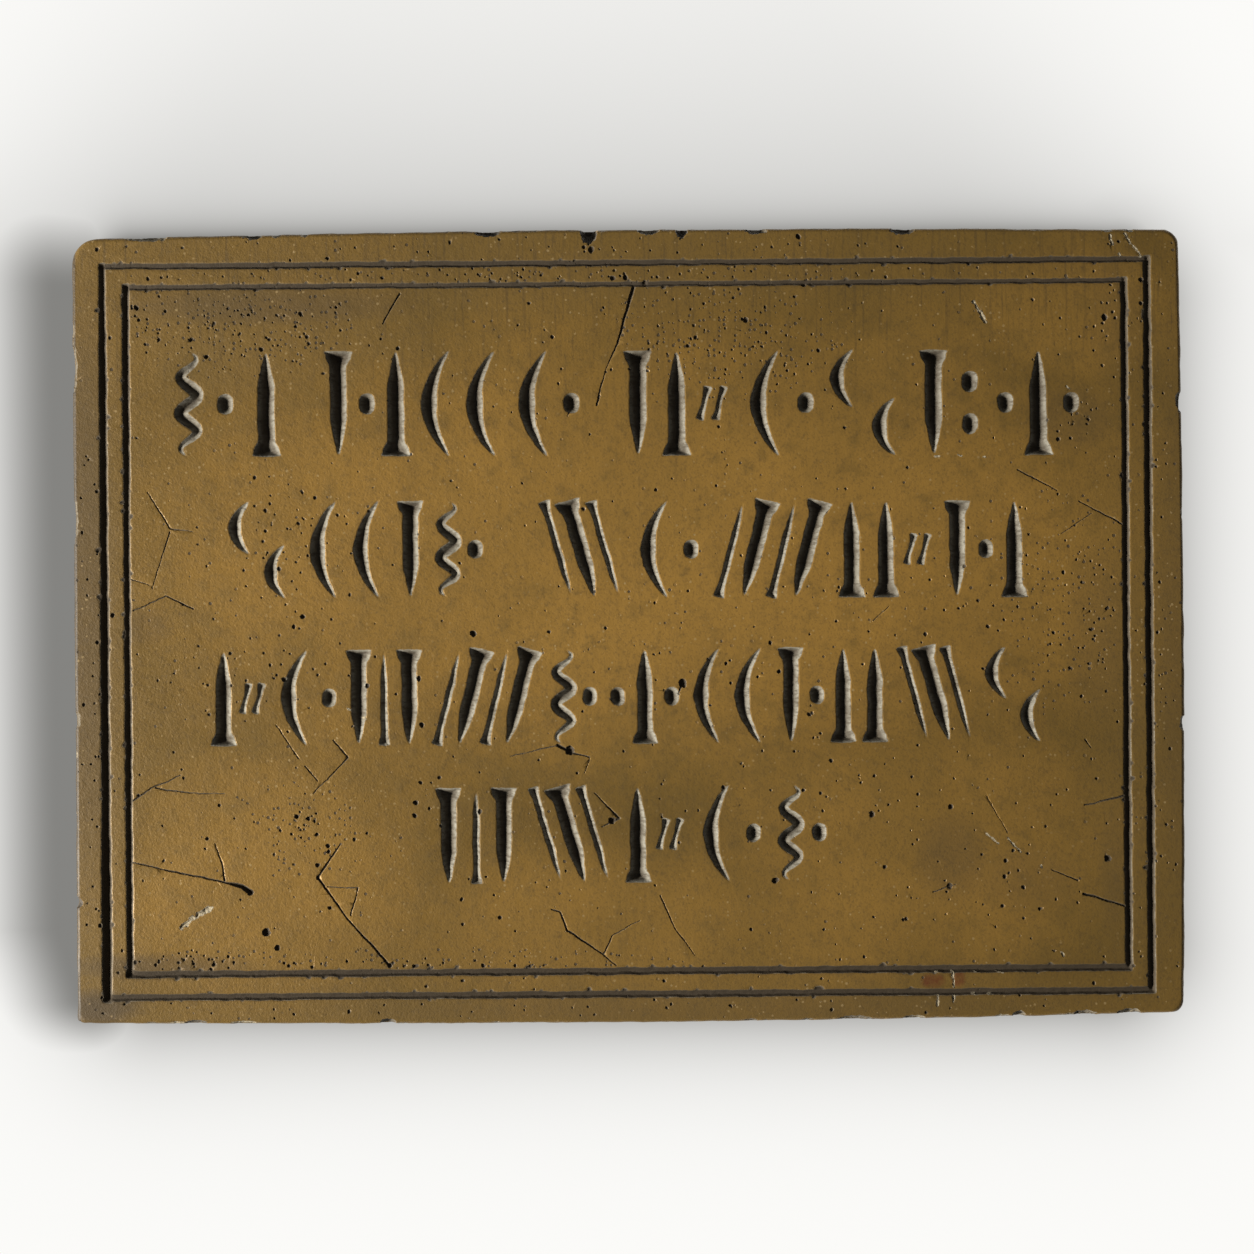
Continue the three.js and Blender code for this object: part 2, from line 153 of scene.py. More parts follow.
# Scratches on the face: half width at the start and at the end, and each point that they run through.
SCRATCHES = (
    (0.2, 0.3, -137.1, -63.8, -125, -66.6, -109.7, -69.8),
    (0.4, 0.85, -109.7, -69.8, -106.6, -70.6, -104.4, -72.2),
    (0.14, 0.26, -114, -58.8, -112.2, -64, -111.3, -69), (0.18, 0.34, -79.7, -59.2, -85.9, -68.3),
    (0.34, 0.24, -85.9, -68.3, -77.9, -79.7), (0.24, 0.36, -77.9, -79.7, -66.1, -92.9),
    (0.16, 0.2, -83.3, -70.9, -74.9, -71.3, -76.9, -78.7),
    (0.24, 0.18, -136.4, -46.8, -131, -43.4, -123.2, -40.1),
    (0.22, 0.14, -130.1, -43.5, -121, -44.9, -111.4, -45.1), (0.18, 0.34, 124.3, -50.1, 135.5, -47.5),
    (0.34, 0.3, 124.1, -74.3, 135.3, -77.7), (0.14, 0.22, 115.1, -67.7, 122.5, -70.7),
    (0.22, 0.14, 82.6, -73.7, 88.9, -71.6), (0.12, 0.14, 97.6, -47.2, 103.4, -57.6),
    (0.5, 0.3, 1.9, 92.8, -2.7, 77.4), (0.26, 0.12, -2.7, 77.4, -6.1, 69.8),
    (0.14, 0.32, -6.1, 69.8, -8.5, 60.6), (0.3, 0.14, -14.2, 62.6, -16.6, 57.7),
    (0.26, 0.18, -62.3, 91.6, -67, 83.4), (0.18, 0.28, -22.1, -77.5, -19.6, -78.2, -17.6, -83.4),
    (0.3, 0.16, -17.6, -83.4, -8, -89.9, -4.1, -93.1), (0.14, 0.22, 2.3, -80.9, -5.3, -84.7, -7.6, -89.9),
    (0.22, 0.14, 7.9, -74, 12, -83, 17.4, -90.5), (0.14, 0.2, -32.8, -35.6, -19.8, -32.5),
    (0.45, 0.16, -19.8, -32.5, -15.3, -34.8, -11.1, -35.8), (0.16, 0.12, -11.1, -35.8, -12.5, -40.6),
    (0.14, 0.3, -9.9, -45.8, -3.2, -52.7), (0.4, 0.14, -3.2, -52.7, -8, -55.2),
    (0.24, 0.18, 14.6, -15.8, 11.6, -21.8), (0.16, 0.22, -131.7, 37.5, -125.8, 27.7),
    (0.2, 0.14, -125.8, 27.7, -119.2, 26.7), (0.2, 0.14, -125.8, 26.8, -130.7, 11.1),
    (0.16, 0.12, -137, 13.9, -131, 12), (0.18, 0.24, -136.1, 5.1, -126.9, 9.1, -119.4, 5.6),
    (0.14, 0.2, -97, -26.4, -90.9, -35.8), (0.24, 0.16, -89.2, -37.8, -85.7, -42),
    (0.2, 0.24, -81.4, -30.7, -77.3, -35.6), (0.22, 0.14, -77.3, -35.6, -87, -45.3),
    (0.22, 0.16, 106.7, 42.1, 117.6, 36.2), (0.16, 0.26, 123.5, 33.3, 135.2, 27),
    (0.14, 0.12, 127.1, 29.9, 118.6, 24.4), (0.12, 0.12, 66.6, 0.7, 71.4, 4.8),
    (0.24, 0.14, 124.7, -32, 126.3, -34.2),
)

# Larger pits: place, radius and depth.
HOLLOWS = (
    (-100.1, -83.3, 1.1, 1), (-97.1, -87.6, 0.75, 0.9), (-16.5, -34, 1.3, 1.1), (14.6, -15.8, 1.1, 1),
    (-5.1, -53.3, 1.1, 0.9), (39.5, -70.1, 0.8, 0.8), (-104.4, -72.4, 0.8, 0.9), (-85.9, -68.3, 0.6, 0.7),
    (-9.7, 103.2, 0.8, 0.6), (5, 93.8, 0.9, 0.9), (-3.8, 95.4, 0.7, 0.6), (-42.8, -1.8, 0.9, 0.9),
    (-91.6, -51.6, 0.65, 0.8), (-88.4, -52.2, 0.55, 0.7), (-86.1, -56.6, 0.5, 0.7),
    (-83.1, -59.7, 0.6, 0.7), (-82.9, -61.3, 0.5, 0.6), (-85.9, -65, 0.55, 0.7), (-82.7, -76.7, 0.6, 0.7),
    (-59.2, -51.6, 0.6, 0.7), (-58.9, -48, 0.65, 0.7), (-57.5, -42.5, 0.5, 0.6), (-41.4, -50.6, 0.6, 0.7),
    (-72, -15.9, 0.65, 0.8), (-57.1, -26.8, 0.65, 0.8), (-57.8, -14, 0.6, 0.7), (-89.5, 3.2, 0.6, 0.7),
    (-36.1, -79.7, 0.5, 0.6), (130.9, 83.6, 0.9, 0.9), (140.9, 93.9, 0.6, 0.7), (140.9, 87.4, 0.6, 0.7),
    (130.7, -64.7, 0.9, 0.7), (87.7, -50.3, 0.7, 0.7), (87.3, -72, 0.8, 0.5),
)

# Gouges that show pale stone: half width and the two ends.
GOUGES = (
    (0.8, -123.6, -81.8, -115.6, -76.4), (0.65, 95.1, 88.3, 98.3, 82.5), (0.36, 136.4, 107.2, 138.2, 103.9),
    (0.3, 138.2, 103.9, 141.1, 100.3), (0.5, 132.6, 106.3, 133.2, 103.8),
    (0.36, 134.9, 101.2, 135.3, 100.4), (0.4, 83.9, -101.6, 83.9, -104.8),
    (0.45, 88.2, -101.7, 88.2, -103.6), (0.45, 87.9, -95.3, 88.3, -99.3), (0.4, 83.1, -95.7, 83.9, -95.6),
    (0.36, 93.8, -95.3, 94.5, -95.3), (0.34, 100.1, -95.3, 101.9, -95.8),
    (0.34, 93.1, -101.6, 94.1, -101.6), (0.34, 97.3, -101.6, 98.3, -101.6),
    (0.3, 97.5, -57.6, 100.7, -60.5), (0.36, 103.4, -59.1, 106.8, -62.7), (0.4, 112.3, -66.5, 112.5, -67),
    (0.3, 84, 45.9, 85.4, 45.9), (0.3, 90.4, 46.1, 91.6, 46), (0.3, 97.3, 45.6, 98, 45.7),
    (0.3, -77.5, -22, -72.3, -24.9), (0.36, 120.4, 64.9, 121.2, 64.2), (0.4, 117.7, -90.2, 118.4, -91.2),
)

# Where pits gather: place, spread to each side, and count.
PIT_CLUSTERS = (
    (-108, 83, 28, 9, 110), (30, 78, 30, 13, 70), (-122, -91, 11, 2.2, 34), (-70, -92.6, 40, 1.2, 36),
    (-90, -54, 9, 8, 26), (-94, 22, 10, 12, 46), (-100, -12, 24, 10, 46), (126, 2, 7, 20, 40),
    (90, 6, 34, 22, 34), (104, -70, 22, 12, 26), (60, -46, 30, 14, 40), (-30, 96.6, 90, 1.6, 70),
    (0, 104, 120, 2.2, 30), (-147, 0, 2.4, 90, 24), (146, -20, 3, 70, 30), (0, -105, 120, 2, 30),
    (132, 82, 6, 10, 26), (121, 55, 8, 6, 24),
)
SCATTERED_PITS = 420
LARGEST_PIT = 0.8
SMALLEST_PIT = 0.25
NICKS_PER_SIDE = 45
EDGE_NIBBLES = 300
NIBBLE_SHARES = {"top": 0.32, "bottom": 0.26, "left": 0.24, "right": 0.18}
GOUGE_DEPTH = 0.7
GOUGE_PALENESS = 0.85
SEED = 1877
LATTICE = 128

PIECE = "plaque_relief"


def colour_setting(name, words, value):
    return bpy.props.FloatVectorProperty(name=name, description=words, default=value, subtype="COLOR")


def length_setting(name, words, value):
    return bpy.props.FloatProperty(name=name, description=words, default=value, unit="LENGTH")


def number_setting(name, words, value):
    return bpy.props.FloatProperty(name=name, description=words, default=value)


class PlaqueSizes(bpy.types.PropertyGroup):
    """Fineness and wear of the relief."""

    grid_step: length_setting("Grid step", "Between points of the carved face, before thinning", 0.00022)
    side_step: length_setting("Side step", "Distance between the rings of points down the edge", 0.0005)
    triangles: bpy.props.IntProperty(
        name="Triangles",
        description="Triangles left in the carved face and the edge after thinning",
        default=186000,
    )
    waver: length_setting("Waver", "How far the cuts stray from their drawn lines", 0.00014)


class PlaqueFinish(bpy.types.PropertyGroup):
    """Colours of the plaque."""

    bronze: colour_setting("Bronze", "Bronze paint of the face", (0.325, 0.181, 0.037))
    dull_bronze: colour_setting("Dull bronze", "Bronze paint where it has dulled", (0.158, 0.095, 0.021))
    patina: colour_setting("Patina", "Dark patina on the face", (0.057, 0.04, 0.021))
    groove: colour_setting("Groove", "Walls of the cuts", (0.27, 0.25, 0.2))
    # Painted shade besides soot: the border lines' walls take this darker colour.
    sooty_shaded_groove: colour_setting("Sooty groove", "Walls of the border lines", (0.092, 0.073, 0.047))
    # Painted shade besides soot: this colour darkens the cuts towards their bottoms and blackens the pits,
    # scratches and the top and bottom lines.
    soot_and_shade: colour_setting("Soot", "Dark in the pits and at the bottom of the cuts", (0.04, 0.028, 0.015))
    stone: colour_setting("Stone", "Bare cast stone of the chips and the back", (0.42, 0.355, 0.235))
    dusty_stone: colour_setting("Dusty stone", "Bare cast stone where dust lies on it", (0.375, 0.315, 0.21))
    # Painted shade besides dark stone: the darkest chips take this colour, standing in for the shade in their
    # notches.
    sooty_shaded_stone: colour_setting("Sooty stone", "The darkest of the chips", (0.055, 0.046, 0.039))
    # Painted highlight: dots of this colour stand in for grains of the paint catching the light.
    painted_glint: colour_setting("Glint", "Bright grains in the paint", (0.42, 0.3, 0.14))
    rust: colour_setting("Rust", "Red traces beside the lower line", (0.12, 0.024, 0.01))
    # Painted shade besides wear: the left front edge faces the key light, and this dark colour holds down its
    # highlight.
    worn_shaded_edge: colour_setting("Worn edge", "The front edge on the left", (0.036, 0.027, 0.017))


class StageSettings(bpy.types.PropertyGroup):
    """Wall, light and camera."""

    wall: colour_setting("Wall", "Pale wall behind the plaque", (0.97, 0.965, 0.945))
    wall_shade: colour_setting("Wall shade", "The wall where it is wholly shaded", (0.012, 0.01, 0.002))
    room: colour_setting("Room", "What is seen beyond the wall from the sides and the back",
                         (0.88, 0.88, 0.86))
    key_power: number_setting("Key light", "Power of the raking light, in watts", 65.0)
    fill_power: number_setting("Rear light", "Power of the light on the back, in watts", 22.0)
    room_light: number_setting("Room light", "Strength of the even light", 0.075)
    lens: number_setting("Lens", "Focal length of the camera, in millimetres on a 36 mm sensor", 60.0)
    distance: length_setting("Distance", "From the camera to the carved face", 0.573)
    roll: bpy.props.FloatProperty(
        name="Roll",
        description="Turn of the camera about its axis",
        default=math.radians(0.43),
        subtype="ANGLE",
    )


def value_noise(a, b, size, seed):
    """Smooth noise from -1 to 1: random values on a square lattice, joined by smoothstep blends."""
    table = np.random.default_rng(seed).uniform(-1, 1, (LATTICE, LATTICE))
    u = a / size + LATTICE / 2
    v = b / size + LATTICE / 2
    i = np.floor(u).astype(np.int64)
    j = np.floor(v).astype(np.int64)
    f = u - i
    g = v - j
    f = f * f * (3 - 2 * f)
    g = g * g * (3 - 2 * g)
    i0, i1, j0, j1 = (k % LATTICE for k in (i, i + 1, j, j + 1))
    low = table[j0, i0] * (1 - f) + table[j0, i1] * f
    high = table[j1, i0] * (1 - f) + table[j1, i1] * f
    return low * (1 - g) + high * g


def box_blur(field, reach):
    """Mean over a square of 2 reach + 1 cells: differences of running sums along each axis in turn."""
    for axis in (0, 1):
        moved = np.moveaxis(field, axis, 0)
        padded = np.concatenate([moved[:1]] * (reach + 1) + [moved] + [moved[-1:]] * reach)
        sums = np.cumsum(padded, axis=0)
        field = np.moveaxis((sums[2 * reach + 1:] - sums[:-2 * reach - 1]) / (2 * reach + 1), 0, axis)
    return field


def on_slab(u, v, inset):
    """A point of the square u, v from -1 to 1 on the slab's outline at an inset.

    The square is scaled to the slab, each corner's square is pressed radially onto its quarter disc, and
    the corners draw in by the squares of the distances along both sides.
    """
    half_x = WIDTH / 2 - inset
    half_z = HEIGHT / 2 - inset
    x = u * half_x
    z = v * half_z
    for side_x, side_z, radius, _, _ in CORNERS:
        a = (side_x * x - (half_x - radius)) / radius
        b = (side_z * z - (half_z - radius)) / radius
        inside = (a > 0) & (b > 0)
        press = np.where(inside, np.maximum(a, b) / np.maximum(np.hypot(a, b), 1e-9), 1.0)
        x = np.where(inside, side_x * (half_x - radius + a * press * radius), x)
        z = np.where(inside, side_z * (half_z - radius + b * press * radius), z)
    across = x / half_x
    up = z / half_z
    draw_x = np.zeros_like(x)
    draw_z = np.zeros_like(z)
    for side_x, side_z, _, corner_x, corner_z in CORNERS:
        nearest = (side_x * across >= 0) & (side_z * up >= 0)
        draw_x = np.where(nearest, corner_x, draw_x)
        draw_z = np.where(nearest, corner_z, draw_z)
    return x - across * draw_x * up**2, z - up * draw_z * across**2


class Face:
    """The carved face's grid, and what has been cut from it.

    depth is how deep the cuts go, soot_and_shade how dark their walls are painted, for soot and for painted
    shade, bare how much stone shows through the paint and tone how pale it is.
    """

    def __init__(self, step, waver):
        inset = FRONT_ARRIS
        self.columns = round((WIDTH - 2 * inset) / step) + 1
        self.rows = round((HEIGHT - 2 * inset) / step) + 1
        self.u = np.linspace(-1, 1, self.columns)
        self.v = np.linspace(-1, 1, self.rows)
        self.x, self.z = on_slab(self.u[None, :] + 0 * self.v[:, None], self.v[:, None] + 0 * self.u, inset)
        self.wavy_x, self.wavy_z = (
            field + waver * sum(share * value_noise(self.x, self.z, size, seeds[way])
                                for size, share, seeds in STRAYING)
            for way, field in enumerate((self.x, self.z)))
        self.depth, self.soot_and_shade, self.bare, self.tone = np.zeros((4, self.rows, self.columns))

    def window(self, low, high):
        """The part of the grid that holds a box, with room for the corners' draw."""
        room = EDGE_ROOM + 0.5
        spans = []
        for line, half, least, most in zip((self.v, self.u), (HEIGHT / 2, WIDTH / 2), low[::-1], high[::-1]):
            ends = (least - room) / half, (most + room) / (half - EDGE_ROOM)
            spans.append(slice(*np.searchsorted(line, ends)))
        return tuple(spans)

    def depth_inside(self, points, halves, flat_ends, slopes):
        """How deep a V goes along a polyline, whose half width runs evenly along each piece.

        It is the lesser of the distances from both edges of the V, each times the slope of its own wall,
        and the largest over the pieces. slopes holds the left or upper wall's and then the other's. At a
        flat end it is no more than the distance from the end's line times the end's slope.
        """
        reach = halves.max()
        where = self.window(points.min(0) - reach, points.max(0) + reach)
        x = self.wavy_x[where]
        z = self.wavy_z[where]
        best = np.full(x.shape, OUTSIDE)
        for start, end, half_start, half_end in zip(points[:-1], points[1:], halves[:-1], halves[1:]):
            run = end - start
            dx = x - start[0]
            dz = z - start[1]
            t = np.clip((dx * run[0] + dz * run[1]) / (run @ run), 0, 1)
            half = half_start + (half_end - half_start) * t
            away = np.hypot(dx - t * run[0], dz - t * run[1])
            if slopes[0] == slopes[1]:
                np.maximum(best, slopes[0] * (half - away), out=best)
            else:
                side = np.sign(dx * run[1] - dz * run[0])
                walls = np.minimum(slopes[0] * (half + side * away), slopes[1] * (half - side * away))
                np.maximum(best, walls, out=best)
        for is_flat, end, inner in zip(flat_ends, (points[0], points[-1]), (points[1], points[-2])):
            if is_flat:
                inward = (inner - end) / np.hypot(*(inner - end))
                run_in = (x - end[0]) * inward[0] + (z - end[1]) * inward[1]
                np.minimum(best, END_SLOPE * run_in, out=best)
        return where, best

    def cut(self, points, halves, flat_ends, slopes=(CUT_SLOPE, CUT_SLOPE), soot_and_shade=0.0):
        """Takes a V out of the face along a polyline."""
        where, depth = self.depth_inside(points, halves, flat_ends, slopes)
        self.take(where, depth, soot_and_shade)

    def take(self, where, depth, soot_and_shade):
        """Deepens the face to a depth, and gives what is new its level of soot and painted shade."""
        self.soot_and_shade[where] = np.where(depth > np.maximum(self.depth[where], 0), soot_and_shade, self.soot_and_shade[where])
        np.maximum(self.depth[where], depth, out=self.depth[where])

    def pit(self, x, z, radius, depth, stretch, turn):
        """A ragged bowl: depth times the root of one less the squared distance from its middle, in radii."""
        where = self.window((x - 1.5 * radius, z - 1.5 * radius), (x + 1.5 * radius, z + 1.5 * radius))
        dx = self.x[where] - x
        dz = self.z[where] - z
        a = (dx * math.cos(turn) + dz * math.sin(turn)) / (radius * stretch)
        b = (dz * math.cos(turn) - dx * math.sin(turn)) / radius
        ragged = 0.3 * value_noise(self.x[where], self.z[where], 0.6, 32)
        bowl = depth * np.sqrt(np.clip(1 - a * a - b * b + ragged, 0, 1))
        self.take(where, np.where(a * a + b * b < 2, bowl, 0), PIT_SOOT_AND_SHADE)

    def gouge(self, half, points):
        """A shallow ragged trough that shows pale stone."""
        where, inside = self.depth_inside(points, np.array([half, half]), (False, False), (1.0, 1.0))
        ragged = value_noise(self.x[where], self.z[where], 0.7, 31) * 0.6 * half
        inside = np.clip(inside + ragged, 0, half)
        np.maximum(self.depth[where], GOUGE_DEPTH * inside, out=self.depth[where])
        shown = np.clip(inside / (0.4 * half), 0, 1)
        np.maximum(self.bare[where], shown, out=self.bare[where])
        np.maximum(self.tone[where], GOUGE_PALENESS * shown, out=self.tone[where])


def border_line(number):
    """The rectangle of one border line's middle: 0 is the outer line and 1 the inner."""
    inset = {side: LINE_INSET[side] + number * LINE_SPACING[side] for side in LINE_INSET}
    return {
        "left": -WIDTH / 2 + inset["left"],
        "right": WIDTH / 2 - inset["right"],
        "bottom": -HEIGHT / 2 + inset["bottom"],
        "top": HEIGHT / 2 - inset["top"],
    }


def cut_border(face, rng):
    """Eight V-grooves. Each runs on past its corners by its half width, where its flat end mitres it.

    The far wall, on the right or below, is the steeper one. Nicks break their edges.
    """
    for number, widths in enumerate(LINE_WIDTHS):
        line = border_line(number)
        ends = {
            "left": ((line["left"], line["bottom"]), (line["left"], line["top"])),
            "right": ((line["right"], line["bottom"]), (line["right"], line["top"])),
            "bottom": ((line["left"], line["bottom"]), (line["right"], line["bottom"])),
            "top": ((line["left"], line["top"]), (line["right"], line["top"])),
        }
        for side, (start, end) in ends.items():
            start, end = np.array(start), np.array(end)
            halves = np.array(widths[side]) / 2
            along = (end - start) / np.hypot(*(end - start))
            t = np.linspace(0, 1, 25)
            points = (start - along * halves[0]) + t[:, None] * (end - start + along * halves.sum())
            uneven = 1 + LINE_UNEVENNESS * value_noise(points[:, 0], points[:, 1], 17.0, 21 + number)
            widths_here = (halves[0] + (halves[1] - halves[0]) * t) * uneven
            face.cut(points, widths_here, (True, True), LINE_SLOPES, LINE_SOOT_AND_SHADE[side])
            for _ in range(NICKS_PER_SIDE):
                at = start + (end - start) * rng.uniform(0, 1)
                off = rng.choice((-1, 1)) * halves.mean() * rng.uniform(0.7, 1.2)
                size = rng.uniform(0.25, 0.6)
                face.pit(at[0] - along[1] * off, at[1] + along[0] * off, size, size * 0.8,
                         rng.uniform(0.7, 1.8), rng.uniform(0, math.pi))


def stroke(start, end, half, shapes, bow=0.0, wave=0.0):
    """A stroke of a mark, in a cell one unit high; shapes names its two ends, flat or point."""
    return np.array(start), np.array(end), half, shapes, bow, wave


def nail(x, lean=0.0, half=STEM):
    return stroke((x, 0), (x + lean, 1), half, ("point", "flat"))


def peg(x, lean=0.0, half=STEM):
    return stroke((x, 0), (x + lean, 1), half, ("flat", "point"))


def crescent(x, low, high, bow, half=STEM):
    return stroke((x, low), (x, high), half, ("point", "point"), bow)


def ripple(x, half):
    return stroke((x, -0.01), (x, 1.01), half, ("point", "point"), 0.0, 0.08)


def dash(start, end):
    return stroke(start, end, HAIR, ("flat", "flat"))


def lozenge(x, z):
    return stroke((x, z - LOZENGE), (x, z + LOZENGE), LOZENGE, ("point", "point"))


# Each mark is its width, as a share of the row's height, and its strokes. None of them is a letter.
MARKS = {
    "n": (0.18, (nail(0.09),)),
    "v": (0.18, (peg(0.09),)),
    "w": (0.5, (ripple(0.14, 0.06), lozenge(0.43, 0.5))),
    "c": (0.6, (crescent(0.3, -0.02, 1.02, 0.2), lozenge(0.53, 0.5))),
    "b": (0.82, (crescent(0.3, -0.02, 1.02, 0.2), crescent(0.76, -0.02, 1.02, 0.2))),
    "d": (0.76, (nail(0.09), peg(0.67), lozenge(0.38, 0.5))),
    "e": (0.56, (peg(0.09), dash((0.3, 0.34), (0.38, 0.66)), dash((0.44, 0.34), (0.52, 0.66)))),
    "r": (0.5, (nail(0.09), lozenge(0.42, 0.7), lozenge(0.42, 0.3))),
    "g": (0.66, (crescent(0.2, 0.44, 1.01, 0.28, 0.07), crescent(0.58, -0.01, 0.56, 0.28, 0.07))),
    "t": (0.74, (peg(0.37), lozenge(0.07, 0.5), lozenge(0.67, 0.5))),
    "u": (0.74, (nail(0.09), peg(0.37, 0.0, LIGHT_STEM), nail(0.65))),
    "l": (0.84, (nail(0.32, -0.28, LIGHT_STEM), nail(0.56, -0.28), nail(0.8, -0.28, LIGHT_STEM))),
    "m": (1.14, (peg(0.04, 0.26, LIGHT_STEM), nail(0.29, 0.26), peg(0.57, 0.26, LIGHT_STEM),
                 nail(0.82, 0.26))),
}


def cut_stroke(face, start, end, half, shapes, bow, wave, unit):
    """The stroke's middle is its chord moved sideways by bow times 4 t (1 - t) plus wave times a sine.

    A flat end flares by the square of the nearness to it, and a pointed end narrows by a power of the
    distance from it.
    """
    t = np.linspace(0, 1, 33)
    chord = end - start
    side = np.array((-chord[1], chord[0]))
    sway = bow * 4 * t * (1 - t) + wave * np.sin(WAVES * 2 * math.pi * t)
    points = start + t[:, None] * chord + sway[:, None] * side
    steps = np.hypot(*np.diff(points, axis=0).T)
    run = np.concatenate(([0.0], np.cumsum(steps)))
    length = run[-1]
    point_run = length / 2 if bow else POINT_RUN * length
    halves = np.full_like(t, half)
    for shape, distance in zip(shapes, (run, length - run)):
        if shape == "flat":
            halves *= 1 + SERIF_FLARE * np.clip(1 - distance / (SERIF_RUN * unit), 0, 1) ** 2
        else:
            halves *= np.clip(distance / point_run, 0, 1) ** POINT_POWER
    face.cut(points, halves, [shape == "flat" for shape in shapes])


def cut_rows(face):
    """Every stroke of every row, spread so that each word fills its room."""
    field = border_line(1)
    wide = field["right"] - field["left"]
    high = field["top"] - field["bottom"]
    middle = (field["left"] + field["right"]) / 2
    for base, height, tilt, words in ROWS:
        unit = height * high
        lean = math.tan(math.radians(tilt))
        for left, right, letters in words:
            marks = [MARKS[letter] for letter in letters]
            natural = sum(width for width, _ in marks) + MARK_GAP * (len(marks) - 1)
            spread = (right - left) * wide / natural
            start = 0.0
            for width, strokes in marks:
                for low, top, half, shapes, bow, wave in strokes:
                    ends = []
                    for point in (low, top):
                        x = field["left"] + left * wide + (start + point[0]) * spread
                        z = field["bottom"] + base * high + point[1] * unit + (x - middle) * lean
                        ends.append(np.array((x, z)))
                    cut_stroke(face, *ends, half * unit, shapes, bow, wave, unit)
                start += width + MARK_GAP


def cut_scratches(face):
    for start, end, *points in SCRATCHES:
        points = np.array(points, float).reshape(-1, 2)
        halves = np.linspace(start, end, len(points)) + SCRATCH_WIDENING
        face.cut(points, halves, (False, False), SCRATCH_SLOPES, SCRATCH_SOOT_AND_SHADE)


def scatter_pits(face, rng):
    """Air-bubble pits: a few placed ones, clusters spread normally about their middles, and the rest."""
    for x, z, radius, depth in HOLLOWS:
        face.pit(x, z, radius, depth, rng.uniform(0.8, 1.3), rng.uniform(0, math.pi))
    places = [np.stack((rng.uniform(-0.99, 0.99, SCATTERED_PITS) * WIDTH / 2,
                        rng.uniform(-0.99, 0.99, SCATTERED_PITS) * HEIGHT / 2), 1)]
    for x, z, spread_x, spread_z, count in PIT_CLUSTERS:
        spread = (rng.normal(x, spread_x / 1.6, count), rng.normal(z, spread_z / 1.6, count))
        places.append(np.stack(spread, 1))
    for x, z in np.concatenate(places):
        if abs(x) < WIDTH / 2 - EDGE_ROOM and abs(z) < HEIGHT / 2 - EDGE_ROOM:
            radius = min(LARGEST_PIT, SMALLEST_PIT + rng.gamma(1.5, 0.065))
            depth = radius * rng.uniform(0.8, 1.3)
            face.pit(x, z, radius, depth, rng.uniform(0.85, 1.3), rng.uniform(0, math.pi))


def edge_rings(face, side_step):
    """Rings of points from the carved face's edge to the back.

    The front arris is a quarter circle, the side runs straight back, and the back arris is a bevel. Each
    ring goes round the square's outline. The result is depth, x and z, one row of points to a ring.
    """
    u = np.concatenate((face.u[:-1], np.ones(face.rows - 1), face.u[:0:-1], -np.ones(face.rows - 1)))
    v = np.concatenate((-np.ones(face.columns - 1), face.v[:-1], np.ones(face.columns - 1), face.v[:0:-1]))
    angles = np.linspace(0, math.pi / 2, 8)[1:]
    levels = [(FRONT_ARRIS * (1 - math.cos(a)), FRONT_ARRIS * (1 - math.sin(a)), math.sin(a)) for a in angles]
    count = round((THICKNESS - FRONT_ARRIS - BACK_ARRIS) / side_step)
    sides = np.linspace(FRONT_ARRIS, THICKNESS - BACK_ARRIS, count + 1)[1:]
    levels += [(d, 0.0, 1.0) for d in sides] + [(THICKNESS, BACK_ARRIS, 0.0)]
    rings = []
    for depth, inset, share in levels:
        x, z = on_slab(u, v, inset)
        around = np.cumsum(np.hypot(np.diff(x, prepend=x[-1]), np.diff(z, prepend=z[-1])))
        rough = 0.2 + 0.13 * value_noise(around, depth + 0 * around, 6.0, 41)
        rough += 0.07 * value_noise(around, depth + 0 * around, 1.6, 42)
        x, z = on_slab(u, v, inset + share * rough)
        rings.append(np.stack((depth + 0 * x, x, z), 1))
    return np.array(rings)


def flake(points, bare, tone, side, place, long, across, down, paleness):
    """Breaks an ellipsoid off the edge: each point inside it moves on, inwards and back at 45 degrees,
    until it leaves it again."""
    upright = side in ("left", "right")
    sign = 1 if side in ("right", "top") else -1
    u, v = (float(sign), place) if upright else (place, float(sign))
    x, z = on_slab(np.array([u]), np.array([v]), 0.0)
    centre = np.array((0.0, x[0], z[0]))
    reach = FRONT_ARRIS * 0.6 + across
    axes = np.array((FRONT_ARRIS * 0.6 + down, reach, long / 2) if upright
                    else (FRONT_ARRIS * 0.6 + down, long / 2, reach))
    inward = np.array((1.0, -sign, 0.0) if upright else (1.0, 0.0, -sign)) / math.sqrt(2)
    near = np.flatnonzero((np.abs(points - centre) < axes).all(1))
    q = (points[near] - centre) / axes
    grain = value_noise(points[near, 1] * 1.3, points[near, 0] * 1.3 + points[near, 2], 0.9, 51)
    q *= (1 + 0.14 * grain)[:, None]
    inside = (q * q).sum(1) < 1
    near, q = near[inside], q[inside]
    e = inward / axes
    along = q @ e
    travel = (-along + np.sqrt(along**2 - (e @ e) * ((q * q).sum(1) - 1))) / (e @ e)
    points[near] += travel[:, None] * inward
    shown = np.clip(travel / 0.35, 0, 1)
    bare[near] = np.maximum(bare[near], shown)
    tone[near] = np.where(shown > 0.2, paleness, tone[near])


